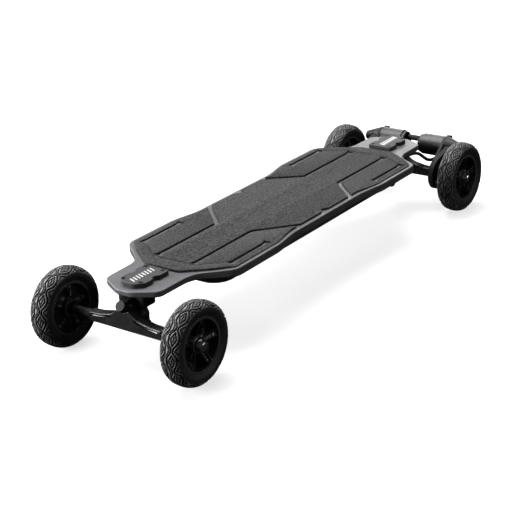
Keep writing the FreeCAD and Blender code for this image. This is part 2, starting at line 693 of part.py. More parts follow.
def axle_nuts():
    nuts = []
    for side in (1, -1):
        start = side * (HUB_OUTER_Y + 0.8)
        washer_end = start + side * 1.5
        nut_end = washer_end + side * 9
        nut = hex_prism((AXLE_X, washer_end, AXLE_Z), (AXLE_X, nut_end, AXLE_Z), 18.0)
        washer = rod((AXLE_X, start, AXLE_Z), (AXLE_X, washer_end, AXLE_Z), 10.0)
        bore = rod((AXLE_X, start - side, AXLE_Z), (AXLE_X, nut_end + side, AXLE_Z), AXLE_RADIUS + RUNNING)
        nuts.append(nut.fuse(washer).cut(bore))
    return group(nuts)


def bearing(low_y):
    """Sealed ball bearing with a shallow shield recess on both faces."""
    high_y = low_y + BEARING_WIDTH
    ring = tube((AXLE_X, low_y, AXLE_Z), (AXLE_X, high_y, AXLE_Z), BEARING_RADIUS, AXLE_RADIUS + RUNNING)
    for start, end in ((low_y - 1, low_y + 0.5), (high_y - 0.5, high_y + 1)):
        ring = ring.cut(tube((AXLE_X, start, AXLE_Z), (AXLE_X, end, AXLE_Z), 11.8, 8.6))
    return ring


def wheel_bearings():
    """Two bearings in each hub and the spacer tube between them."""
    pieces = []
    inner_y = HUB_INNER_Y + 0.5
    outer_y = HUB_OUTER_Y - BEARING_WIDTH - 0.5
    for low_y in (inner_y, outer_y):
        pieces.append(bearing(low_y))
    pieces.append(tube((AXLE_X, inner_y + BEARING_WIDTH, AXLE_Z), (AXLE_X, outer_y, AXLE_Z), 8.5,
                       AXLE_RADIUS + RUNNING))
    return group(pieces + [mirrored_y(piece) for piece in pieces])


# ---------------------------------------------------------------- wheels, drawn at the front left

def turned(profile):
    """Solid of revolution about the front axle line from (radius, y) points."""
    points = [Vec(AXLE_X + radius, y, AXLE_Z) for radius, y in profile]
    face = Part.Face(Part.makePolygon(points + points[:1]))
    return face.revolve(Vec(AXLE_X, 0, AXLE_Z), Vec(0, 1, 0), 360)


def tyre():
    """Solid rubber tyre: flat bead, bulged sidewalls and a crowned tread with four grooves round it."""
    half = [(RIM_SEAT_RADIUS, 15.5), (RIM_SEAT_RADIUS + 4, 17.5), (60, 20.2), (66, TYRE_WIDTH / 2),
            (71, 20.2), (75.5, 17.6), (78.2, 13.6), (78.6, 12.6), (76.2, 12.3), (76.4, 10.2), (79.0, 9.9),
            (79.6, 5.2), (77.0, 4.9), (77.0, 2.9), (TYRE_RADIUS, 2.6)]
    profile = [(r, HALF_TRACK + y) for r, y in half] + [(r, HALF_TRACK - y) for r, y in reversed(half)]
    return turned(profile)


def wheel_plane_prism(corners, height):
    """Polygon of (radius, across) points in the plane of the wheel, drawn about the origin."""
    points = [Vec(radius, 0, across) for radius, across in corners]
    return Part.Face(Part.makePolygon(points + points[:1])).extrude(Vec(0, height, 0))


def spoke_band(low_root, low_tip, high_root, high_tip):
    """Limits a spoke between two slopes, from the hub to the barrel."""
    points = [Vec(13, low_root, -20), Vec(50, low_tip, -20), Vec(50, high_tip, -20), Vec(13, high_root, -20)]
    return Part.Face(Part.makePolygon(points + points[:1])).extrude(Vec(0, 0, 40))


def spoke(angle):
    """Pair of ribs from the hub to the barrel with a thin web set back between them."""
    root_radius = 13.5
    tip_radius = 49.5
    half_rib = 1.7
    root_y = HUB_OUTER_Y - 3
    tip_y = WHEEL_OUTER_Y - 4
    pieces = []
    for side in (1, -1):
        root = side * 4.6
        tip = root * 1.25
        rib = wheel_plane_prism([(root_radius, root - half_rib), (tip_radius, tip - half_rib),
                                 (tip_radius, tip + half_rib), (root_radius, root + half_rib)], 200)
        pieces.append(rib.common(spoke_band(root_y - 14, tip_y - 12, root_y, tip_y)))
    web = wheel_plane_prism([(root_radius, -5), (tip_radius, -6), (tip_radius, 6), (root_radius, 5)], 200)
    pieces.append(web.common(spoke_band(root_y - 11, tip_y - 10, root_y - 5, tip_y - 5)))
    whole = pieces[0].multiFuse(pieces[1:])
    whole.rotate(Vec(0, 0, 0), Vec(0, 1, 0), angle)
    whole.translate(Vec(AXLE_X, 0, AXLE_Z))
    return whole


def spoke_angles():
    return [44 + i * 360 / SPOKE_COUNT for i in range(SPOKE_COUNT)]


def bolt_places(radius):
    places = []
    for angle in spoke_angles():
        places.append((AXLE_X + radius * math.cos(math.radians(angle)),
                       AXLE_Z - radius * math.sin(math.radians(angle))))
    return places


def rim_disc():
    """Closed disc behind the spokes, stiffened by a low rib on the inside of each spoke."""
    inner_y = HUB_INNER_Y + 12.7
    shape = turned([(17, inner_y), (49, inner_y), (49, inner_y + 3), (17, inner_y + 3)])
    for angle in spoke_angles():
        rib = wheel_plane_prism([(23.5, -2), (49, -2), (49, 2), (23.5, 2)], 9.5)
        rib.rotate(Vec(0, 0, 0), Vec(0, 1, 0), angle)
        rib.translate(Vec(AXLE_X, inner_y - 9, AXLE_Z))
        shape = shape.fuse(rib)
    for x, z in bolt_places(RIM_BOLT_RADIUS):
        shape = shape.cut(rod((x, inner_y - 20, z), (x, HALF_TRACK - 8, z), 5.5))
    return shape


def rim():
    """Rim: hub, barrel with two lips, spokes in front of a disc, and a bolt boss on each spoke."""
    hub = turned([(11, HUB_INNER_Y), (18, HUB_INNER_Y), (19, HUB_OUTER_Y - 4), (17, HUB_OUTER_Y),
                  (11, HUB_OUTER_Y)])
    inner = HALF_TRACK - 17
    outer = HALF_TRACK + 17
    barrel = turned([(48.0, inner), (53.5, inner), (53.5, inner + 1.4), (RIM_SEAT_RADIUS - 0.1, inner + 3),
                     (RIM_SEAT_RADIUS - 0.1, outer - 3), (53.5, outer - 1.4), (53.5, outer), (48.0, outer)])
    pieces = [barrel, rim_disc()] + [spoke(angle) for angle in spoke_angles()]
    for x, z in bolt_places(RIM_BOLT_RADIUS):
        pieces.append(rod((x, HALF_TRACK - 8, z), (x, HALF_TRACK + 8, z), 5.5))
    shape = hub.multiFuse(pieces)
    bore = BEARING_RADIUS + RUNNING
    for low_y in (HUB_INNER_Y - 1, HUB_OUTER_Y - BEARING_WIDTH - 1):
        shape = shape.cut(rod((AXLE_X, low_y, AXLE_Z), (AXLE_X, low_y + BEARING_WIDTH + 2, AXLE_Z), bore))
    for x, z in bolt_places(RIM_BOLT_RADIUS):
        shape = shape.cut(rod((x, 0, z), (x, 200, z), 2.2))
    return shape


def rim_bolts():
    bolts = []
    for x, z in bolt_places(RIM_BOLT_RADIUS):
        shank = rod((x, HALF_TRACK - 11, z), (x, HALF_TRACK + 8, z), 2.2)
        head = rod((x, HALF_TRACK + 8, z), (x, HALF_TRACK + 11, z), 3.6)
        nut = hex_prism((x, HALF_TRACK - 11, z), (x, HALF_TRACK - 8, z), 6.4)
        socket = hex_prism((x, HALF_TRACK + 9.5, z), (x, HALF_TRACK + 12, z), 3.0)
        bolts.append(shank.multiFuse([head, nut]).cut(socket))
    return group(bolts)


WHEELS = [("front_left", False, False), ("front_right", False, True),
          ("rear_left", True, False), ("rear_right", True, True)]


def wheel_place(shape, rear, right):
    """Moves a piece drawn at the front left wheel to another wheel."""
    shape = shape.copy()
    if right:
        shape = mirrored_y(shape)
    if rear:
        shape.translate(Vec(-WHEELBASE, 0, 0))
    return shape


# ---------------------------------------------------------------- drive, drawn at the left rear wheel

def toothed_wheel(centre, teeth, low_y, high_y):
    """Belt pulley with round-bottomed tooth gaps."""
    tip = teeth * TOOTH_PITCH / (2 * math.pi) - TOOTH_TIP_DROP
    body = rod((centre[0], low_y, centre[1]), (centre[0], high_y, centre[1]), tip)
    gaps = []
    for i in range(teeth):
        angle = 2 * math.pi * i / teeth
        x = centre[0] + (tip + 0.4) * math.cos(angle)
        z = centre[1] + (tip + 0.4) * math.sin(angle)
        gaps.append(rod((x, low_y - 1, z), (x, high_y + 1, z), 1.5))
    return body.cut(gaps)


def wheel_pulley():
    """Driven pulley with a drum that carries it on the inside of the rim."""
    low_y = BELT_INNER_Y - 1
    high_y = BELT_INNER_Y + BELT_WIDTH + 1
    centre = (-AXLE_X, AXLE_Z)

    def at(y):
        return (centre[0], y, centre[1])

    teeth = toothed_wheel(centre, WHEEL_TEETH, low_y, high_y)
    teeth = teeth.cut(rod(at(low_y - 1), at(high_y + 1), 30.5))
    web = tube(at(high_y - 4), at(high_y), 31.0, 12.0)
    for i in range(SPOKE_COUNT):
        angle = 2 * math.pi * (i + 0.5) / SPOKE_COUNT
        x = centre[0] + 24.5 * math.cos(angle)
        z = centre[1] + 24.5 * math.sin(angle)
        web = web.cut(rod((x, low_y, z), (x, high_y + 1, z), 4.0))
    drum = tube(at(high_y - 2), at(HUB_INNER_Y + 12.7), 22.5, 19.5)
    return teeth.multiFuse([web, drum])


def belt():
    """Drive belt round both pulleys, a little clear of their teeth."""
    low_y = BELT_INNER_Y
    high_y = BELT_INNER_Y + BELT_WIDTH
    gap = FREE - TOOTH_TIP_DROP
    inner = drive_plate(WHEEL_PITCH_RADIUS + gap, MOTOR_PITCH_RADIUS + gap, low_y, high_y)
    outer = drive_plate(WHEEL_PITCH_RADIUS + gap + BELT_THICKNESS, MOTOR_PITCH_RADIUS + gap + BELT_THICKNESS,
                        low_y, high_y)
    return outer.cut(inner)


def at_motor(y):
    return (MOTOR_X, y, MOTOR_Z)


def motor_pulley():
    centre = (MOTOR_X, MOTOR_Z)
    teeth = toothed_wheel(centre, MOTOR_TEETH, BELT_INNER_Y - 0.5, BELT_INNER_Y + BELT_WIDTH + 0.5)
    collar = rod(at_motor(BELT_INNER_Y + BELT_WIDTH + 0.5), at_motor(BELT_INNER_Y + BELT_WIDTH + 3), 8.5)
    return teeth.fuse(collar).cut(rod(at_motor(80), at_motor(120), 4.0))


def motor_rotor():
    """Rotor drum on the motor shaft."""
    drum = rod(at_motor(MOTOR_INNER_Y + 6), at_motor(MOTOR_OUTER_Y - 4), MOTOR_RADIUS - 4)
    shaft = rod(at_motor(MOTOR_INNER_Y + 4), at_motor(BELT_INNER_Y + BELT_WIDTH + 4), 4.0)
    return drum.fuse(shaft)


def motor_housing():
    """Motor can: stepped end bell on the inner end, open at the mount, with a gland for its cable."""
    can = rod(at_motor(MOTOR_INNER_Y), at_motor(MOTOR_OUTER_Y), MOTOR_RADIUS)
    can = can.makeFillet(1.2, [edge for edge in can.Edges if edge.BoundBox.YMax < MOTOR_INNER_Y + 0.01])
    bell = rod(at_motor(MOTOR_END_Y), at_motor(MOTOR_INNER_Y + 1), MOTOR_RADIUS - 2.5)
    bell = bell.makeFillet(3.5, [edge for edge in bell.Edges if edge.BoundBox.YMax < MOTOR_END_Y + 0.01])
    can = can.fuse(bell)
    cable_end = Vec(*CABLE_POINTS[-1])
    inward = (cable_end - Vec(*CABLE_POINTS[-2])).normalize()
    gland = rod(cable_end, cable_end + inward * 12, CABLE_RADIUS + 1.2)
    can = can.fuse(gland.cut(rod(at_motor(MOTOR_INNER_Y), at_motor(MOTOR_OUTER_Y), MOTOR_RADIUS - 1)))
    return can.cut(rod(at_motor(MOTOR_INNER_Y + 3), at_motor(MOTOR_OUTER_Y + 1), MOTOR_RADIUS - 3))


def motor_mount():
    """Bracket from the hanger's arm to the motor's face, with a tensioner lug."""
    plate = drive_plate(17.0, MOTOR_RADIUS, MOTOR_OUTER_Y, MOTOR_OUTER_Y + 7)
    lug_angle = math.radians(134)
    lug_x = MOTOR_X + MOTOR_RADIUS * math.cos(lug_angle)
    lug_z = MOTOR_Z + MOTOR_RADIUS * math.sin(lug_angle)
    plate = plate.fuse(rod((lug_x, MOTOR_OUTER_Y - 3, lug_z), (lug_x, MOTOR_OUTER_Y + 7, lug_z), 6.0))
    plate = plate.cut(rod(at_motor(MOTOR_OUTER_Y - 4), at_motor(MOTOR_OUTER_Y), MOTOR_RADIUS + FREE))
    plate = plate.cut(rod((-AXLE_X, MOTOR_OUTER_Y - 1, AXLE_Z), (-AXLE_X, MOTOR_OUTER_Y + 8, AXLE_Z), 9.0))
    arm_low = (-AXLE_X - 10, MOTOR_OUTER_Y - 1, AXLE_Z - 8.01)
    arm_high = (-AXLE_X + 10, HANGER_ARM_Y, AXLE_Z + 10)
    plate = plate.cut(box(arm_low, arm_high))
    plate = plate.cut(rod(at_motor(MOTOR_OUTER_Y - 1), at_motor(MOTOR_OUTER_Y + 8), 6.5))
    for x, z in mount_screw_places():
        plate = plate.cut(rod((x, MOTOR_OUTER_Y - 1, z), (x, MOTOR_OUTER_Y + 8, z), 2.0))
    return plate


def mount_screw_places():
    return [(MOTOR_X + 16 * math.cos(math.radians(a)), MOTOR_Z + 16 * math.sin(math.radians(a)))
            for a in (45, 135, 225, 315)]


def mount_screws():
    """Four screws that hold each motor to its bracket."""
    screws = []
    for x, z in mount_screw_places():
        shank = rod((x, MOTOR_OUTER_Y, z), (x, MOTOR_OUTER_Y + 7, z), 1.95)
        head = rod((x, MOTOR_OUTER_Y + 7, z), (x, MOTOR_OUTER_Y + 9.6, z), 3.4)
        socket = hex_prism((x, MOTOR_OUTER_Y + 8.2, z), (x, MOTOR_OUTER_Y + 10, z), 2.8)
        screws.append(shank.fuse(head).cut(socket))
    return group(screws + [mirrored_y(screw) for screw in screws])


def belt_cover():
    """Tapered cap over the motor pulley, cut open where the belt passes."""
    start = MOTOR_OUTER_Y + 7
    end = WHEEL_INNER_Y - 6
    outer = cone(at_motor(start), at_motor(end), MOTOR_RADIUS, 10.0)
    inner = cone(at_motor(start - 0.1), at_motor(end - 2.5), MOTOR_RADIUS - 2.5, 8.4)
    slot_low = BELT_INNER_Y - 2
    slot_high = BELT_INNER_Y + BELT_WIDTH + 2
    slot = drive_plate(WHEEL_PITCH_RADIUS + 4, MOTOR_PITCH_RADIUS + 4, slot_low, slot_high)
    return outer.cut(inner).cut(slot)


def motor_brace():
    """Bar that ties the two motor cans together behind the tail."""
    x = MOTOR_X - 6
    z = MOTOR_Z + 8
    return rod((x, -MOTOR_END_Y, z), (x, MOTOR_END_Y, z), 6.5)


def both_sides(shape, name):
    save(shape, name + "_left")
    save(mirrored_y(shape), name + "_right")


# ---------------------------------------------------------------- export

def export_deck():
    save(deck_shell(), "deck_shell")
    save(grip_pad(), "grip_pad")
    save(badge_plate(), "nose_badge_plate")
    save(to_rear(badge_plate()), "tail_badge_plate")
    save(battery_enclosure(), "battery_enclosure")
    save(enclosure_gasket(), "enclosure_gasket")
    save(enclosure_screws(), "enclosure_screws")
    save(battery_pack(), "battery_pack")
    save(motor_controller(), "motor_controller")
    save(charge_port(), "charge_port")
    save(charge_port_cap(), "charge_port_cap")
    save(power_button(), "power_button")
    save(button_bezel(), "button_bezel")
    cable = motor_cable()
    save(group([cable, mirrored_y(cable)]), "motor_cables")


def export_trucks():
    save(group([riser_pad(), to_rear(riser_pad())]), "riser_pads")
    save(baseplate(), "front_baseplate")
    save(to_rear(baseplate()), "rear_baseplate")
    save(truck_bolts(), "truck_bolts")
    save(truck_nuts(), "truck_nuts")
    save(group([kingpin(), to_rear(kingpin())]), "kingpins")
    save(group([kingpin_nut(), to_rear(kingpin_nut())]), "kingpin_nuts")
    cushions = [bushing(1), bushing(-1)]
    washers = [bushing_washer(1), bushing_washer(-1)]
    save(group(cushions + [to_rear(piece) for piece in cushions]), "bushings")
    save(group(washers + [to_rear(piece) for piece in washers]), "bushing_washers")
    save(group([pivot_cup(), to_rear(pivot_cup())]), "pivot_cups")
    for piece, name in ((hanger(), "hanger"), (axle(), "axle"), (axle_nuts(), "axle_nuts"),
                        (wheel_bearings(), "wheel_bearings")):
        save(piece, "front_" + name)
        save(to_rear(piece), "rear_" + name)


def export_wheels():
    pieces = ((tyre(), "_tyre"), (rim(), "_rim"), (rim_bolts(), "_rim_bolts"))
    for wheel, rear, right in WHEELS:
        for shape, suffix in pieces:
            save(wheel_place(shape, rear, right), wheel + suffix)


def export_drive():
    both_sides(wheel_pulley(), "wheel_pulley")
    both_sides(belt(), "drive_belt")
    both_sides(motor_pulley(), "motor_pulley")
    both_sides(motor_rotor(), "motor_rotor")
    both_sides(motor_housing(), "motor_housing")
    both_sides(motor_mount(), "motor_mount")
    both_sides(belt_cover(), "belt_cover")
    save(mount_screws(), "mount_screws")
    save(motor_brace(), "motor_brace")


os.makedirs("parts", exist_ok=True)
export_deck()
export_trucks()
export_wheels()
export_drive()
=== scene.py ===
import json
import math

import bpy
import numpy as np
from mathutils import Matrix, Vector


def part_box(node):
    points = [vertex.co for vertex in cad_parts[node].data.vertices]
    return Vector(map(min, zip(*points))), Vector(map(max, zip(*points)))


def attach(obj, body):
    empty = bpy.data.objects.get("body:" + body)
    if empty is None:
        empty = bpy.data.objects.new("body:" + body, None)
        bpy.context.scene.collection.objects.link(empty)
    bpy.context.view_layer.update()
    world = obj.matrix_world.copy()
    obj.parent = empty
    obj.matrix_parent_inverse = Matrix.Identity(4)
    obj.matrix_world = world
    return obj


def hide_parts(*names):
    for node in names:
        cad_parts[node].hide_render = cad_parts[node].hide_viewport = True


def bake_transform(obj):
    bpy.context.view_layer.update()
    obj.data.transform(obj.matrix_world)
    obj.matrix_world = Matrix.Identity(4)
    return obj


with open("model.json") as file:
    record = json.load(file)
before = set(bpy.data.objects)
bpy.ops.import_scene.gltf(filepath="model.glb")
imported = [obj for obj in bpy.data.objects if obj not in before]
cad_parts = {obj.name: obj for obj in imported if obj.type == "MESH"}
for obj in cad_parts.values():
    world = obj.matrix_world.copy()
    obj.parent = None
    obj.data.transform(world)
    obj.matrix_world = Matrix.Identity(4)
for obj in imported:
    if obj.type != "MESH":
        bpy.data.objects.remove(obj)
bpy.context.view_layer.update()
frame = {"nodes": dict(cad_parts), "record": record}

MM = 0.001
WHEELS = ("front_left", "front_right", "rear_left", "rear_right")

# Steel nodes that are blackened, and black nodes without gloss, unlike the others in their material slots
BLACKENED_NODES = ("kingpins", "kingpin_nuts", "bushing_washers", "truck_nuts", "front_wheel_bearings",
                   "rear_wheel_bearings", "mount_screws")
MATT_NODES = ("motor_mount_left", "motor_mount_right", "motor_brace", "front_baseplate", "rear_baseplate")

# Rounding of edges for the light to catch
ROUNDED_NODES = ("front_hanger", "rear_hanger", "front_baseplate", "rear_baseplate", "battery_enclosure",
                 "grip_pad")
ROUNDING = 0.8 * MM
RIM_ROUNDING = 1.1 * MM
SHARP_ANGLE = math.radians(35)
WELD_DISTANCE = 0.01 * MM

# Camera: the angle round the board, the angle above it, and the roll in radians
CAMERA_AZIMUTH = math.radians(127.31)
CAMERA_ELEVATION = math.radians(22.78)
CAMERA_ROLL = -0.0587
CAMERA_DISTANCE = 2.695
CAMERA_TARGET = Vector((0.1194, 0.0196, 0.080))
CAMERA_LENS = 93.0

# Tyre grid: pitches of the tread round the tyre, grid columns in each, and grid rows across the tread
TREAD_PITCHES = 12
COLUMNS_PER_PITCH = 60
TREAD_ROWS = 96

# Tyre tread, in millimetres: the radius that the pitch is measured at, the arc from the crown line to the
# tread's edge, and the grooves' sizes
PITCH_RADIUS = 79.0
TREAD_HALF_ARC = 25.0
GROOVE_DEPTH = 3.4
GROOVE_WIDTH = 2.9
GROOVE_WALL = 0.8

# Ribs on the tyre's sidewall, in millimetres: middle radius and half width of their band, and their depth
RIB_BAND_RADIUS = 66.0
RIB_BAND_HALF_WIDTH = 2.4
RIB_DEPTH = 0.45
COLUMNS_PER_RIB = 5

# Share of a tread block's scuffing that the sidewall shows
SIDEWALL_SCUFF = 0.15

# Bars of the badge pattern: their sides stand up to a chamfer, and their foot is sunk in the plate
BAR_COUNT = 8
BAR_STEP = 8.0 * MM
BAR_HALF_WIDTH = 1.7 * MM
BAR_HALF_LENGTH = 7.5 * MM
BAR_SLANT = 2.5 * MM
BAR_HEIGHT = 0.6 * MM
BAR_SIDE_HEIGHT = 0.36 * MM
BAR_CHAMFER = 0.35 * MM
BAR_SUNK = 0.3 * MM

CABLE_RADIUS = 3.8 * MM

# Distance from the middle of the board at which the motor's end bell meets its can, and half the seam's width
MOTOR_BELL_END = 28 * MM
MOTOR_BELL_SEAM = 0.5 * MM

# Span of its 0 to 1 range that a noise pattern mostly keeps to
NOISE_SPAN = (0.3, 0.7)

FLOOR_HALF_SIZE = 30.0


# ---------------------------------------------------------------- materials

class Shader:
    """A Principled material with short calls for the nodes that give it its detail.

    Pattern scales are per metre of the object, and bump depths are in metres.
    """

    def __init__(self, name, colour, roughness, metallic=0.0, specular=0.5):
        self.material = bpy.data.materials.new(name)
        self.material.use_nodes = True
        self.tree = self.material.node_tree
        self.bsdf = self.tree.nodes["Principled BSDF"]
        self.bsdf.inputs["Base Color"].default_value = (*colour, 1)
        self.bsdf.inputs["Roughness"].default_value = roughness
        self.bsdf.inputs["Metallic"].default_value = metallic
        self.bsdf.inputs["Specular IOR Level"].default_value = specular
        self.colour = colour
        self.place = self.add("ShaderNodeTexCoord").outputs["Object"]
        self.normal = None

    def add(self, kind, **settings):
        node = self.tree.nodes.new(kind)
        for key, value in settings.items():
            setattr(node, key, value)
        return node

    def link(self, source, target):
        self.tree.links.new(source, target)

    def stretched(self, x, y, z):
        """Object coordinates scaled along each axis, for brushed or woven detail."""
        mapping = self.add("ShaderNodeMapping")
        mapping.inputs["Scale"].default_value = (x, y, z)
        self.link(self.place, mapping.inputs["Vector"])
        return mapping.outputs["Vector"]

    def noise(self, scale, detail, roughness=0.55, place=None):
        node = self.add("ShaderNodeTexNoise")
        node.inputs["Scale"].default_value = scale
        node.inputs["Detail"].default_value = detail
        node.inputs["Roughness"].default_value = roughness
        self.link(place or self.place, node.inputs["Vector"])
        return node.outputs["Fac"]

    def cells(self, scale, feature="F1"):
        node = self.add("ShaderNodeTexVoronoi", feature=feature)
        node.inputs["Scale"].default_value = scale
        self.link(self.place, node.inputs["Vector"])
        return node.outputs["Distance"]

    def waves(self, scale, axis, place=None, distortion=0.0):
        node = self.add("ShaderNodeTexWave", bands_direction=axis)
        node.inputs["Scale"].default_value = scale
        node.inputs["Distortion"].default_value = distortion
        self.link(place or self.place, node.inputs["Vector"])
        return node.outputs["Fac"]

    def math(self, operation, first, second):
        node = self.add("ShaderNodeMath", operation=operation)
        for socket, value in zip(node.inputs, (first, second)):
            if isinstance(value, (int, float)):
                socket.default_value = value
            else:
                self.link(value, socket)
        return node.outputs["Value"]

    def spread(self, fac, low, high, start=0.0, end=1.0):
        """Maps a 0 to 1 pattern between start and end onto low to high."""
        node = self.add("ShaderNodeMapRange")
        self.link(fac, node.inputs["Value"])
        node.inputs["From Min"].default_value = start
        node.inputs["From Max"].default_value = end
        node.inputs["To Min"].default_value = low
        node.inputs["To Max"].default_value = high
        return node.outputs["Result"]

    def colour_by(self, fac, low, high, start=0.0, end=1.0):
        """Base colour that runs from low to high with a pattern."""
        ramp = self.add("ShaderNodeValToRGB")
        ramp.color_ramp.elements[0].position = start
        ramp.color_ramp.elements[1].position = end
        ramp.color_ramp.elements[0].color = (*low, 1)
        ramp.color_ramp.elements[1].color = (*high, 1)
        self.link(fac, ramp.inputs["Fac"])
        self.link(ramp.outputs["Color"], self.bsdf.inputs["Base Color"])

    def roughness_by(self, fac, low, high):
        self.link(self.spread(fac, low, high, *NOISE_SPAN), self.bsdf.inputs["Roughness"])

    def bump(self, height, depth, strength):
        """Adds a height pattern, in metres of relief, on top of those already there."""
        node = self.add("ShaderNodeBump")
        node.inputs["Strength"].default_value = strength
        node.inputs["Distance"].default_value = depth
        self.link(height, node.inputs["Height"])
        if self.normal:
            self.link(self.normal, node.inputs["Normal"])
        self.normal = node.outputs["Normal"]
        self.link(self.normal, self.bsdf.inputs["Normal"])

    def shades(self, fac, low, high):
        """Varies the base colour about its own value."""
        dark = [channel * low for channel in self.colour]
        light = [channel * high for channel in self.colour]
        self.colour_by(fac, dark, light, *NOISE_SPAN)


def deck_material():
    shader = Shader("satin_deck", (0.06, 0.061, 0.063), 0.45, specular=0.4)
    shader.shades(shader.noise(14, 5), 0.88, 1.15)
    shader.roughness_by(shader.noise(45, 6), 0.4, 0.5)
    across = shader.waves(330, "DIAGONAL")
    along = shader.waves(330, "DIAGONAL", shader.stretched(1, -1, 1))
    shader.bump(shader.math("MULTIPLY", across, along), 0.06 * MM, 0.5)
    shader.bump(shader.noise(900, 3), 0.08 * MM, 0.5)
    return shader.material


def grip_material():
    """Grit on a dark sheet, with coarser clumps that catch the light as speckle."""
    shader = Shader("speckled_grip", (0.044, 0.044, 0.0453), 0.9, specular=0.35)
    grains = shader.cells(1150)
    clumps = shader.noise(270, 1, 0.8)
    both = shader.math("ADD", shader.math("MULTIPLY", grains, 0.3), clumps)
    shader.colour_by(both, shader.colour, (0.0025, 0.0025, 0.0026), 0.47, 0.83)
    shader.roughness_by(shader.noise(300, 3), 0.85, 0.95)
    shader.bump(shader.spread(grains, 1, 0), 0.5 * MM, 0.8)
    shader.bump(shader.noise(260, 5), 0.4 * MM, 0.6)
    return shader.material


def badge_material():
    shader = Shader("badge_plate", (0.022, 0.022, 0.023), 0.6, specular=0.3)
    streaks = shader.noise(60, 5, place=shader.stretched(1, 26, 1))
    shader.shades(streaks, 0.85, 1.15)
    shader.roughness_by(streaks, 0.54, 0.66)
    shader.bump(shader.noise(700, 3), 0.04 * MM, 0.4)
    return shader.material


def badge_inlay_material():
    shader = Shader("badge_inlay", (0.42, 0.425, 0.43), 0.4, metallic=0.3)
    streaks = shader.noise(90, 5, place=shader.stretched(30, 1, 1))
    shader.shades(streaks, 0.85, 1.1)
    shader.roughness_by(streaks, 0.24, 0.4)
    shader.bump(streaks, 0.03 * MM, 0.4)
    return shader.material


def tray_material():
    shader = Shader("grained_tray", (0.04, 0.04, 0.041), 0.5, specular=0.5)
    grain = shader.cells(850, "SMOOTH_F1")
    shader.shades(shader.noise(20, 5), 0.8, 1.3)
    shader.roughness_by(shader.noise(80, 4), 0.52, 0.68)
    shader.bump(grain, 0.18 * MM, 0.7)
    return shader.material


def rubber_material():
    shader = Shader("black_rubber", (0.018, 0.018, 0.018), 0.75, specular=0.3)
    shader.shades(shader.noise(50, 5), 0.75, 1.4)
    shader.roughness_by(shader.noise(130, 4), 0.66, 0.84)
    shader.bump(shader.noise(1400, 3), 0.1 * MM, 0.5)
    return shader.material


def screw_material():
    shader = Shader("black_oxide", (0.04, 0.04, 0.042), 0.36, metallic=0.85)
    shader.shades(shader.noise(400, 4), 0.7, 1.5)
    shader.roughness_by(shader.noise(700, 4), 0.28, 0.46)
    shader.bump(shader.noise(2200, 2), 0.03 * MM, 0.5)
    return shader.material


def steel_material():
    shader = Shader("zinc_steel", (0.56, 0.565, 0.575), 0.26, metallic=1.0)
    turned = shader.noise(240, 5, place=shader.stretched(1, 9, 1))
    shader.shades(turned, 0.8, 1.15)
    shader.roughness_by(turned, 0.2, 0.38)
    shader.bump(turned, 0.04 * MM, 0.5)
    return shader.material


def forged_material():
    shader = Shader("forged_black", (0.014, 0.014, 0.0145), 0.3, metallic=0.1, specular=0.5)
    shader.shades(shader.noise(30, 6), 0.75, 1.35)
    shader.roughness_by(shader.noise(110, 5), 0.24, 0.38)
    shader.bump(shader.noise(70, 3), 0.2 * MM, 0.3)
    shader.bump(shader.noise(1300, 3), 0.08 * MM, 0.5)
    return shader.material


def urethane_material():
    shader = Shader("bushing_urethane", (0.022, 0.022, 0.022), 0.45, specular=0.45)
    shader.shades(shader.noise(90, 4), 0.8, 1.3)
    shader.roughness_by(shader.noise(220, 4), 0.38, 0.54)
    shader.bump(shader.noise(500, 2), 0.1 * MM, 0.4)
    return shader.material


def tyre_material():
    """Moulded rubber, scuffed paler on the blocks, with painted shade darkening the grooves to near black."""
    shader = Shader("moulded_tyre", (0.145, 0.145, 0.147), 0.55, specular=0.5)
    # One attribute carries real scuffing on the block tops and painted shade that darkens the grooves by
    # their depth
    scuff_and_groove_shade = shader.add("ShaderNodeAttribute", attribute_name="scuff_and_groove_shade").outputs["Fac"]
    scuff_with_groove_shade = shader.math("MULTIPLY", shader.noise(28, 6), scuff_and_groove_shade)
    shader.colour_by(scuff_with_groove_shade, (0.002, 0.002, 0.002), shader.colour, 0.0, 0.8)
    shader.roughness_by(shader.noise(90, 5), 0.52, 0.74)
    shader.bump(shader.noise(420, 5), 0.25 * MM, 0.5)
    shader.bump(shader.noise(2300, 2), 0.08 * MM, 0.5)
    return shader.material


def rim_material():
    """Glossy black, with a painted highlight, paler and broken up by noise, along its sharp edges."""
    shader = Shader("moulded_rim", (0.01, 0.01, 0.0103), 0.22, specular=1.0)
    # Painted highlight: edges that pointiness finds sharp are coloured pale, standing in for the glints of
    # the lamps
    sharpness = shader.add("ShaderNodeNewGeometry").outputs["Pointiness"]
    edge = shader.spread(sharpness, 0.0, 1.0, 0.52, 0.6)
    painted_edge_highlight = shader.math("MULTIPLY", edge, shader.spread(shader.noise(60, 5), 0.6, 1.0))
    shader.colour_by(painted_edge_highlight, shader.colour, (0.38, 0.38, 0.385))
    shader.roughness_by(shader.noise(180, 5), 0.17, 0.3)
    shader.bump(shader.noise(900, 3), 0.04 * MM, 0.4)
    return shader.material


def motor_material():
    """Dark anodised can with fine lathe lines, and a black end bell on the inner end."""
    shader = Shader("motor_can", (0.0135, 0.0135, 0.0141), 0.38, metallic=0.2)
    lathe = shader.waves(620, "Y", distortion=0.6)
    split = shader.add("ShaderNodeSeparateXYZ")
    shader.link(shader.place, split.inputs["Vector"])
    outward = shader.math("ABSOLUTE", split.outputs["Y"], 0.0)
    seam = (MOTOR_BELL_END - MOTOR_BELL_SEAM, MOTOR_BELL_END + MOTOR_BELL_SEAM)
    can = shader.spread(outward, 0.12, 1.0, *seam)
    worn = shader.math("MULTIPLY", can, shader.spread(shader.noise(70, 5), 0.8, 1.0))
    shader.colour_by(worn, (0.0, 0.0, 0.0), shader.colour)
    shader.roughness_by(shader.noise(150, 5), 0.35, 0.47)
    shader.bump(lathe, 0.02 * MM, 0.5)
    shader.bump(shader.noise(1300, 2), 0.05 * MM, 0.4)
    return shader.material


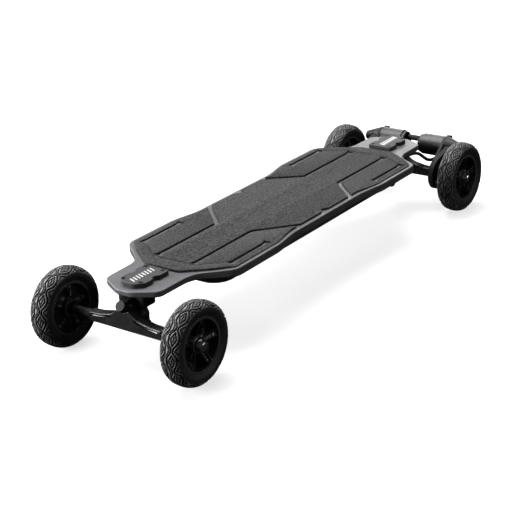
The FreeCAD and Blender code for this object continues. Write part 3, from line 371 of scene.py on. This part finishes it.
def cover_material():
    shader = Shader("cover_grey", (0.024, 0.024, 0.025), 0.45, metallic=0.2)
    shader.shades(shader.noise(70, 5), 0.85, 1.2)
    shader.roughness_by(shader.noise(160, 5), 0.4, 0.54)
    shader.bump(shader.noise(1500, 3), 0.1 * MM, 0.6)
    return shader.material


def belt_material():
    shader = Shader("belt_rubber", (0.015, 0.015, 0.015), 0.78, specular=0.3)
    shader.shades(shader.noise(200, 4), 0.75, 1.4)
    shader.roughness_by(shader.noise(300, 4), 0.7, 0.86)
    shader.bump(shader.waves(500, "Y"), 0.15 * MM, 0.5)
    return shader.material


def cable_material():
    shader = Shader("braided_cable", (0.016, 0.016, 0.0165), 0.6, specular=0.35)
    one_way = shader.waves(300, "DIAGONAL")
    other_way = shader.waves(300, "DIAGONAL", shader.stretched(1, -1, -1))
    shader.shades(shader.noise(400, 3), 0.7, 1.6)
    shader.roughness_by(one_way, 0.52, 0.7)
    shader.bump(shader.math("MAXIMUM", one_way, other_way), 0.25 * MM, 0.7)
    return shader.material


def dark_steel_material():
    shader = Shader("blackened_steel", (0.025, 0.025, 0.026), 0.7, metallic=0.3, specular=0.2)
    turned = shader.noise(240, 5, place=shader.stretched(1, 9, 1))
    shader.shades(turned, 0.7, 1.3)
    shader.roughness_by(turned, 0.62, 0.78)
    shader.bump(turned, 0.04 * MM, 0.5)
    return shader.material


def pulley_material():
    shader = Shader("hard_anodised", (0.055, 0.055, 0.058), 0.4, metallic=0.8)
    shader.shades(shader.noise(160, 5), 0.8, 1.25)
    shader.roughness_by(shader.noise(260, 5), 0.34, 0.5)
    shader.bump(shader.noise(1500, 2), 0.04 * MM, 0.5)
    return shader.material


def bracket_material():
    shader = Shader("matt_bracket", (0.01, 0.01, 0.0103), 0.6, specular=0.2)
    shader.shades(shader.noise(40, 5), 0.75, 1.3)
    shader.roughness_by(shader.noise(160, 5), 0.52, 0.7)
    shader.bump(shader.noise(1300, 3), 0.1 * MM, 0.5)
    return shader.material


def small_plastic_material():
    shader = Shader("small_plastic", (0.02, 0.02, 0.0205), 0.5, specular=0.42)
    shader.shades(shader.noise(300, 4), 0.8, 1.3)
    shader.roughness_by(shader.noise(400, 4), 0.44, 0.6)
    shader.bump(shader.noise(1800, 2), 0.06 * MM, 0.5)
    return shader.material


def cell_material():
    shader = Shader("cell_wrap", (0.02, 0.10, 0.30), 0.35)
    shader.shades(shader.noise(60, 4), 0.85, 1.15)
    shader.roughness_by(shader.noise(200, 4), 0.28, 0.45)
    shader.bump(shader.noise(500, 3), 0.1 * MM, 0.4)
    return shader.material


def controller_material():
    shader = Shader("controller_case", (0.25, 0.25, 0.26), 0.5, metallic=0.9)
    shader.shades(shader.noise(300, 4), 0.9, 1.1)
    shader.roughness_by(shader.noise(500, 4), 0.44, 0.58)
    shader.bump(shader.noise(2500, 2), 0.05 * MM, 0.6)
    return shader.material


# Materials by their slot in the record, and the badge's inlay
MATERIALS = {
    "deck": deck_material(),
    "grip": grip_material(),
    "badge": badge_material(),
    "badge_inlay": badge_inlay_material(),
    "tray": tray_material(),
    "seal_rubber": rubber_material(),
    "cell_wrap": cell_material(),
    "controller_case": controller_material(),
    "black_screw": screw_material(),
    "bright_steel": steel_material(),
    "forged_black": forged_material(),
    "bushing_urethane": urethane_material(),
    "tyre": tyre_material(),
    "rim_black": rim_material(),
    "motor_black": motor_material(),
    "cover_grey": cover_material(),
    "belt_rubber": belt_material(),
    "cable_jacket": cable_material(),
    "pulley_black": pulley_material(),
    "small_plastic": small_plastic_material(),
}


def paint(obj, material):
    obj.data.materials.clear()
    obj.data.materials.append(material)


def paint_cad_nodes():
    """Each CAD node takes the material of its slot in the record."""
    for part in frame["record"]["subparts"]:
        paint(frame["nodes"][part["node"]], MATERIALS[part["material_slot"]])


def paint_exceptions():
    for nodes, material in ((BLACKENED_NODES, dark_steel_material()), (MATT_NODES, bracket_material())):
        for node in nodes:
            paint(frame["nodes"][node], material)


def round_edges(node, width):
    """Rounds the sharp edges of a CAD node with a weld and a bevel."""
    obj = frame["nodes"][node]
    weld = obj.modifiers.new("weld", "WELD")
    weld.merge_threshold = WELD_DISTANCE
    bevel = obj.modifiers.new("bevel", "BEVEL")
    bevel.width = width
    bevel.segments = 2
    bevel.limit_method = "ANGLE"
    bevel.angle_limit = SHARP_ANGLE
    bevel.harden_normals = True


# ---------------------------------------------------------------- meshes

def new_object(name, verts, faces, smooth=True):
    mesh = bpy.data.meshes.new(name)
    mesh.from_pydata([tuple(v) for v in verts], [], faces)
    mesh.validate()
    mesh.update()
    if smooth:
        mesh.shade_smooth()
    obj = bpy.data.objects.new(name, mesh)
    bpy.context.scene.collection.objects.link(obj)
    return obj


def centre_of(node):
    low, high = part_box(node)
    return (low + high) / 2


# ---------------------------------------------------------------- tyres

def tread_grooves():
    """Groove lines of one pitch on one side of the crown, each with its shares of the full depth and width.

    A point is its share of the pitch and its arc from the crown line in millimetres.
    """
    return [
        ([(-0.16, 2.0), (0.16, 2.0), (0.42, 9.5), (0.58, 9.5), (0.84, 2.0)], 1.0, 1.0),
        ([(-0.16, 21.5), (0.16, 21.5), (0.42, 13.7), (0.58, 13.7), (0.84, 21.5)], 1.0, 1.0),
        ([(-0.29, 11.6), (0.0, 5.8), (0.29, 11.6), (0.0, 17.4), (-0.29, 11.6)], 0.85, 0.85),
        ([(-0.1, 11.6), (0.1, 11.6)], 0.6, 0.7),
        ([(0.26, 0.6), (0.42, 5.2), (0.58, 5.2), (0.74, 0.6)], 0.7, 0.6),
        ([(0.27, 25.5), (0.5, 18.2), (0.73, 25.5)], 0.85, 0.85),
        ([(0.0, 21.5), (0.0, 27.0)], 0.9, 1.3),
    ]


def segment_distance(x, y, start, end):
    """Distance of every point from the straight line between start and end."""
    run_x = end[0] - start[0]
    run_y = end[1] - start[1]
    along = ((x - start[0]) * run_x + (y - start[1]) * run_y) / (run_x ** 2 + run_y ** 2)
    along = np.clip(along, 0, 1)
    return np.hypot(x - start[0] - along * run_x, y - start[1] - along * run_y)


def tread_depth(share, arc, pitch):
    """Groove depth, in mm, at a share of the pitch and an arc from the crown line.

    The two sides of the crown are half a pitch apart, and the lines of the pitches before and after reach in.
    """
    side_shift = np.where(arc < 0, 0.5, 0.0)
    x = ((share + side_shift) % 1.0) * pitch
    y = np.abs(arc)
    depth = np.zeros_like(x)
    for line, deep, wide in tread_grooves():
        half_width = GROOVE_WIDTH * wide / 2
        for (share_0, arc_0), (share_1, arc_1) in zip(line, line[1:]):
            for lap in (-1, 0, 1):
                start = ((share_0 + lap) * pitch, arc_0)
                end = ((share_1 + lap) * pitch, arc_1)
                inward = half_width + GROOVE_WALL / 2 - segment_distance(x, y, start, end)
                wall = np.clip(inward / GROOVE_WALL, 0, 1)
                rounded_wall = wall * wall * (3 - 2 * wall)
                depth = np.maximum(depth, GROOVE_DEPTH * deep * rounded_wall)
    return depth


def sidewall_ribs(rows, columns):
    """Depth, in mm, of the fine radial ribs in a band on each sidewall."""
    inside = np.clip((RIB_BAND_HALF_WIDTH - np.abs(rows[:, 1] - RIB_BAND_RADIUS)) * 2, 0, 1)
    band = np.where(np.abs(rows[:, 0]) > TREAD_HALF_ARC, inside, 0)
    ribs = 0.5 + 0.5 * np.cos(2 * math.pi * np.arange(columns) / COLUMNS_PER_RIB)
    return RIB_DEPTH * band[:, None] * ribs[None, :]


def tyre_section():
    """Cross-section from bead to bead, in rows of arc from the crown line, radius and offset, in mm."""
    corners = [(52.0, 15.4), (54.0, 17.2), (57.5, 19.0), (60.4, 19.9), (61.0, 20.4), (62.4, 20.5),
               (63.4, 20.8), (63.7, 20.9), (66.0, 21.0), (68.3, 20.8), (68.6, 20.7), (71.0, 20.2),
               (74.0, 18.6), (76.3, 16.2), (78.0, 13.0), (79.2, 9.0), (79.8, 4.5), (80.0, 0.0)]
    radius, offset = np.array(corners).T
    arc = np.concatenate([[0], np.cumsum(np.hypot(np.diff(radius), np.diff(offset)))])
    arc = arc[-1] - arc
    tread = np.linspace(0, TREAD_HALF_ARC, TREAD_ROWS // 2 + 1)
    wall = arc[arc > TREAD_HALF_ARC][::-1]
    half_arc = np.concatenate([tread, wall])
    half_radius = np.interp(half_arc, arc[::-1], radius[::-1])
    half_offset = np.interp(half_arc, arc[::-1], offset[::-1])
    rows = [(-a, r, -o) for a, r, o in zip(half_arc[:0:-1], half_radius[:0:-1], half_offset[:0:-1])]
    rows += list(zip(half_arc, half_radius, half_offset))
    return np.array(rows)


def pressed_in(rows, depth):
    """Radius and offset of every grid point, in mm, once it is pressed into the section by its depth."""
    slope_radius = np.gradient(rows[:, 1])
    slope_offset = np.gradient(rows[:, 2])
    length = np.hypot(slope_radius, slope_offset)
    radius = rows[:, 1][:, None] - depth * (slope_offset / length)[:, None]
    offset = rows[:, 2][:, None] + depth * (slope_radius / length)[:, None]
    return radius, offset


def ring_faces(rows, columns):
    """Quads of a grid that closes on itself both ways."""
    faces = []
    for i in range(rows):
        after = (i + 1) % rows
        for j in range(columns):
            right = (j + 1) % columns
            faces.append((i * columns + j, i * columns + right, after * columns + right, after * columns + j))
    return faces


def tyre_piece(wheel):
    """Tyre with hexagon and diamond tread blocks, made as one grid round the axle."""
    centre = centre_of(wheel + "_rim")
    tyre_centre = centre_of(wheel + "_tyre")
    rows = tyre_section()
    columns = TREAD_PITCHES * COLUMNS_PER_PITCH
    pitch = 2 * math.pi * PITCH_RADIUS / TREAD_PITCHES
    share = (np.arange(columns) % COLUMNS_PER_PITCH) / COLUMNS_PER_PITCH
    angle = 2 * math.pi * np.arange(columns) / columns
    arc_grid, share_grid = np.meshgrid(rows[:, 0], share, indexing="ij")
    fade = np.clip((TREAD_HALF_ARC + 1 - np.abs(arc_grid)) / 2, 0, 1)
    depth = tread_depth(share_grid, arc_grid, pitch) * fade + sidewall_ribs(rows, columns)
    radius, offset = pressed_in(rows, depth)
    x = centre.x + radius * MM * np.cos(angle)
    y = tyre_centre.y + offset * MM
    z = centre.z + radius * MM * np.sin(angle)
    verts = np.stack([x, y, z], -1).reshape(-1, 3)
    obj = new_object(wheel + "_tread_tyre", verts, ring_faces(len(rows), columns))
    # Block tops get their share of scuffing, and groove floors, by their depth, get painted shade
    scuff_and_groove_shade = obj.data.attributes.new("scuff_and_groove_shade", "FLOAT", "POINT")
    block_tops = (1 - depth / GROOVE_DEPTH) * (SIDEWALL_SCUFF + (1 - SIDEWALL_SCUFF) * fade)
    scuff_and_groove_shade.data.foreach_set("value", block_tops.ravel())
    paint(obj, MATERIALS["tyre"])
    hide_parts(wheel + "_tyre")
    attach(obj, wheel + "_wheel")


# ---------------------------------------------------------------- badge pattern

def bar_ring(inset, z):
    """The four corners of a slanted bar at one height, drawn in by the inset."""
    return [(side * (BAR_HALF_WIDTH - inset) + end * BAR_SLANT, end * (BAR_HALF_LENGTH - inset), z)
            for end in (-1, 1) for side in (end, -end)]


def badge_pattern(name, plate):
    """Row of plain slanted bars raised a little on a badge plate."""
    low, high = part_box(plate)
    middle = (low + high) / 2
    bar = bar_ring(0.0, high.z - BAR_SUNK)
    bar += bar_ring(0.0, high.z + BAR_SIDE_HEIGHT)
    bar += bar_ring(BAR_CHAMFER, high.z + BAR_HEIGHT)
    verts = []
    faces = []
    for i in range(BAR_COUNT):
        base = len(verts)
        bar_x = middle.x + (i - (BAR_COUNT - 1) / 2) * BAR_STEP
        verts += [(bar_x + x, middle.y + y, z) for x, y, z in bar]
        for level in (base, base + 4):
            for k in range(4):
                after = (k + 1) % 4
                faces.append((level + k, level + after, level + 4 + after, level + 4 + k))
        faces.append(tuple(base + 8 + k for k in range(4)))
        faces.append(tuple(base + 3 - k for k in range(4)))
    obj = new_object(name, verts, faces, smooth=False)
    paint(obj, MATERIALS["badge_inlay"])
    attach(obj, "deck")


# ---------------------------------------------------------------- motor cables

def cable_route(side):
    """The cable's points from part.py, in metres: out of the tray, along the tail and round to the motor."""
    points = [(-322, 44, 123), (-368, 47, 126), (-415, 49, 130), (-458, 48.5, 129), (-491, 50, 122.5),
              (-509, 55, 107), (-521, 60.5, 96.5), (-534, 67.3, 96), (-544.2, 73.2, 99.9)]
    return [(x * MM, side * y * MM, z * MM) for x, y, z in points]


def motor_cable(name, side):
    points = cable_route(side)
    curve = bpy.data.curves.new(name, "CURVE")
    curve.dimensions = "3D"
    spline = curve.splines.new("NURBS")
    spline.points.add(len(points) - 1)
    for point, place in zip(spline.points, points):
        point.co = (*place, 1)
    spline.order_u = 3
    spline.use_endpoint_u = True
    curve.resolution_u = 10
    curve.bevel_depth = CABLE_RADIUS
    curve.bevel_resolution = 5
    curve.use_fill_caps = True
    temporary = bpy.data.objects.new(name + "_line", curve)
    bpy.context.scene.collection.objects.link(temporary)
    bpy.context.view_layer.update()
    mesh = bpy.data.meshes.new_from_object(temporary.evaluated_get(bpy.context.evaluated_depsgraph_get()))
    bpy.data.objects.remove(temporary)
    mesh.name = name
    mesh.shade_smooth()
    obj = bpy.data.objects.new(name, mesh)
    bpy.context.scene.collection.objects.link(obj)
    paint(obj, MATERIALS["cable_jacket"])
    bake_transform(obj)
    return obj


# ---------------------------------------------------------------- stage

def floor():
    """Pale floor that glows a little near the board and more further off, where the lamps fade."""
    size = FLOOR_HALF_SIZE
    corners = [(-size, -size, 0), (size, -size, 0), (size, size, 0), (-size, size, 0)]
    obj = new_object("floor", corners, [(0, 1, 2, 3)], smooth=False)
    shader = Shader("pale_floor", (0.3, 0.3, 0.3), 0.9, specular=0.0)
    shader.shades(shader.noise(3, 3), 0.99, 1.01)
    distance = shader.add("ShaderNodeVectorMath", operation="LENGTH")
    shader.link(shader.place, distance.inputs[0])
    glow = shader.spread(distance.outputs["Value"], 0.56, 1.0, start=0.9, end=2.2)
    shader.bsdf.inputs["Emission Color"].default_value = (1, 1, 1, 1)
    shader.link(glow, shader.bsdf.inputs["Emission Strength"])
    paint(obj, shader.material)
    obj.visible_glossy = False
    obj.visible_diffuse = False


def surroundings():
    """Dim light from near black at the horizon to grey overhead, with a white backdrop for the camera."""
    studio = bpy.data.worlds.new("studio")
    bpy.context.scene.world = studio
    studio.use_nodes = True
    tree = studio.node_tree
    place = tree.nodes.new("ShaderNodeTexCoord")
    split = tree.nodes.new("ShaderNodeSeparateXYZ")
    ramp = tree.nodes.new("ShaderNodeValToRGB")
    tree.links.new(place.outputs["Generated"], split.inputs["Vector"])
    tree.links.new(split.outputs["Z"], ramp.inputs["Fac"])
    horizon, overhead = ramp.color_ramp.elements
    horizon.color = (0.02, 0.02, 0.02, 1)
    overhead.color = (0.2, 0.2, 0.2, 1)
    dim = tree.nodes["Background"]
    tree.links.new(ramp.outputs["Color"], dim.inputs["Color"])
    backdrop = tree.nodes.new("ShaderNodeBackground")
    backdrop.inputs["Color"].default_value = (1, 1, 1, 1)
    seen = tree.nodes.new("ShaderNodeLightPath").outputs["Is Camera Ray"]
    mix = tree.nodes.new("ShaderNodeMixShader")
    tree.links.new(seen, mix.inputs["Fac"])
    tree.links.new(dim.outputs["Background"], mix.inputs[1])
    tree.links.new(backdrop.outputs["Background"], mix.inputs[2])
    tree.links.new(mix.outputs["Shader"], tree.nodes["World Output"].inputs["Surface"])


def lamp(name, place, aim, size, power):
    """Rectangular lamp of a width and a height, turned towards its aim."""
    data = bpy.data.lights.new(name, "AREA")
    data.shape = "RECTANGLE"
    data.size, data.size_y = size
    data.energy = power
    obj = bpy.data.objects.new(name, data)
    bpy.context.scene.collection.objects.link(obj)
    obj.location = place
    direction = Vector(aim) - Vector(place)
    obj.rotation_mode = "QUATERNION"
    obj.rotation_quaternion = direction.to_track_quat("-Z", "Y")


def lights():
    lamp("overhead", (-0.4, -0.8, 2.3), (-0.1, 0, 0.1), (3.0, 1.4), 135)
    lamp("front", (2.1, -1.6, 0.7), (0.4, 0, 0.1), (1.6, 1.2), 125)
    lamp("right", (0.2, -3.0, 0.9), (0, 0, 0.1), (2.4, 1.0), 60)
    lamp("rear", (-2.9, -1.1, 1.0), (-0.4, 0, 0.1), (1.6, 0.8), 20)
    lamp("edge", (-0.7, 2.4, 1.8), (0, 0, 0.1), (2.4, 0.35), 26)
    lamp("left", (0.8, 3.2, 0.8), (0, 0, 0.1), (2.4, 1.2), 8)


def camera():
    data = bpy.data.cameras.new("camera")
    data.sensor_width = 36
    data.lens = CAMERA_LENS
    data.clip_end = 100
    obj = bpy.data.objects.new("camera", data)
    bpy.context.scene.collection.objects.link(obj)
    level = math.cos(CAMERA_ELEVATION)
    back = Vector((math.sin(CAMERA_AZIMUTH) * level, -math.cos(CAMERA_AZIMUTH) * level,
                   math.sin(CAMERA_ELEVATION)))
    right = (-back).cross(Vector((0, 0, 1))).normalized()
    up = right.cross(-back)
    turned_right = math.cos(CAMERA_ROLL) * right + math.sin(CAMERA_ROLL) * up
    turned_up = math.cos(CAMERA_ROLL) * up - math.sin(CAMERA_ROLL) * right
    pose = Matrix((turned_right, turned_up, back)).transposed().to_4x4()
    pose.translation = CAMERA_TARGET + back * CAMERA_DISTANCE
    obj.matrix_world = pose
    bpy.context.scene.camera = obj


# ---------------------------------------------------------------- assembly

bpy.context.scene.view_settings.view_transform = "Standard"
bpy.context.scene.view_settings.look = "Medium High Contrast"
camera()
surroundings()
lights()
floor()
paint_cad_nodes()
paint_exceptions()
for node in ROUNDED_NODES:
    round_edges(node, ROUNDING)
for wheel in WHEELS:
    round_edges(wheel + "_rim", RIM_ROUNDING)
    tyre_piece(wheel)
for end in ("nose", "tail"):
    badge_pattern(end + "_badge_bars", end + "_badge_plate")
left_cable = motor_cable("motor_cable_left", 1)
motor_cable("motor_cable_right", -1)
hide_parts("motor_cables")
